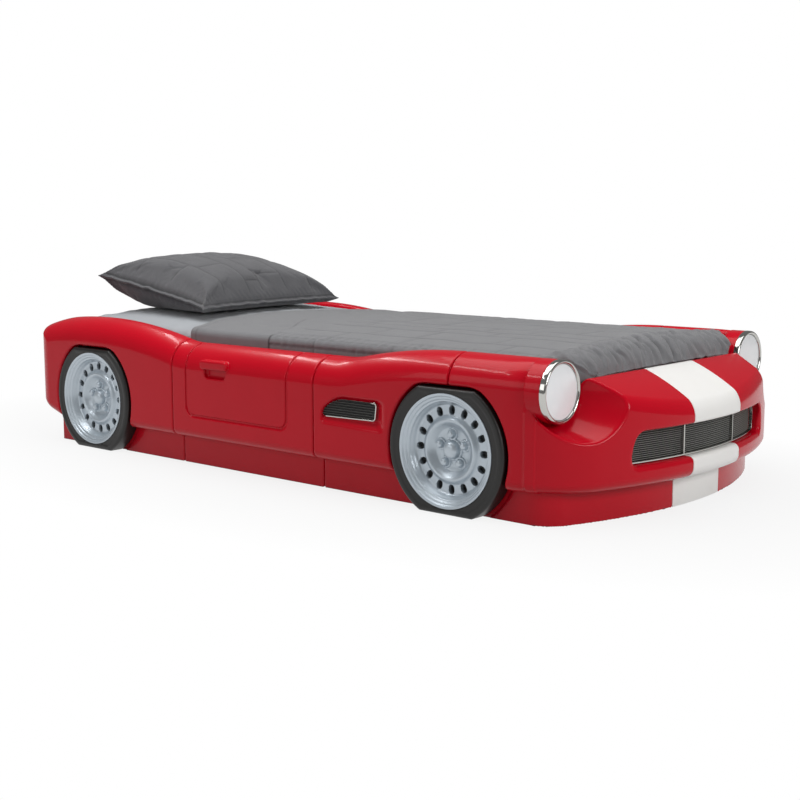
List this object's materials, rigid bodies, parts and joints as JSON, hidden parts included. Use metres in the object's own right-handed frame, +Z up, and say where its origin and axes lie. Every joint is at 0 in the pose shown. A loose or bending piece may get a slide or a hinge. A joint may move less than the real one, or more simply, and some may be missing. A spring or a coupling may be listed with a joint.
{
  "type": "car bed for children",
  "caption": "Twin bed for children in the form of an open roadster: moulded side panels, nose with headlamps and grille, wheels, and a mattress in the well with sheet, quilt and pillow.",
  "frame": {"origin": "on the floor below the middle of the bed's length and width", "axes": "+X towards the car's nose, which is the foot of the bed, -Y the car's right side, +Z up"},
  "size_m": [2.314, 1.208, 0.6269],
  "materials": {
    "red_body": "gloss moulded-through red",
    "white_stripe": "gloss warm white",
    "black_insert": "matt black",
    "bright_trim": "bright plated",
    "tyre_black": "matt black moulded plastic",
    "rim_silver": "silver-grey satin paint",
    "lamp_board": "green board",
    "lens_frosted": "frosted cream lens",
    "deck_wood": "plain pine",
    "plate_steel": "zinc-plated",
    "mattress_cloth": "woven ticking",
    "sheet_cloth": "light grey cotton",
    "quilt_cloth": "dark grey quilted cotton",
    "pillow_cloth": "dark grey cotton"
  },
  "bodies": {
    "car": {"nose_panel": "red_body", "front_fender_right": "red_body", "front_fender_left": "red_body", "door_right": "red_body", "door_left": "red_body", "rear_fender_right": "red_body", "rear_fender_left": "red_body", "tail_panel": "red_body", "stripe_hood": "white_stripe", "stripe_lip": "white_stripe", "stripe_skirt": "white_stripe", "vent_insert_right": "black_insert", "vent_insert_left": "black_insert", "vent_trim_right": "bright_trim", "vent_trim_left": "bright_trim", "tyres": "tyre_black", "wheel_rims": "rim_silver", "lamp_bezels": "bright_trim", "lamp_housings": "black_insert", "lamp_boards": "lamp_board", "grille_back": "black_insert", "grille_bars": "bright_trim", "grille_trim": "bright_trim", "ledge_right": "deck_wood", "ledge_left": "deck_wood", "slats": "deck_wood", "centre_beam": "deck_wood", "centre_legs": "deck_wood", "joining_plates": "plate_steel", "corner_brackets": "plate_steel", "plate_bolts": "plate_steel"},
    "lens_right": {"lamp_lens_right": "lens_frosted"},
    "lens_left": {"lamp_lens_left": "lens_frosted"},
    "bedding": {"mattress": "mattress_cloth", "fitted_sheet": "sheet_cloth", "quilt": "quilt_cloth", "pillow": "pillow_cloth"}
  },
  "joints": [
    {"name": "lamp_push_right", "type": "slide", "parent": "car", "child": "lens_right", "axis": [-1, 0, 0], "range_m": [0, 0.003], "stiffness_N_per_m": 500, "springref_m": -0.001},
    {"name": "lamp_push_left", "type": "slide", "parent": "car", "child": "lens_left", "axis": [-1, 0, 0], "range_m": [0, 0.003], "stiffness_N_per_m": 500, "springref_m": -0.001},
    {"name": "bedding_lift", "type": "slide", "parent": "car", "child": "bedding", "axis": [0, 0, 1], "range_m": [0, 0.25]}
  ]
}
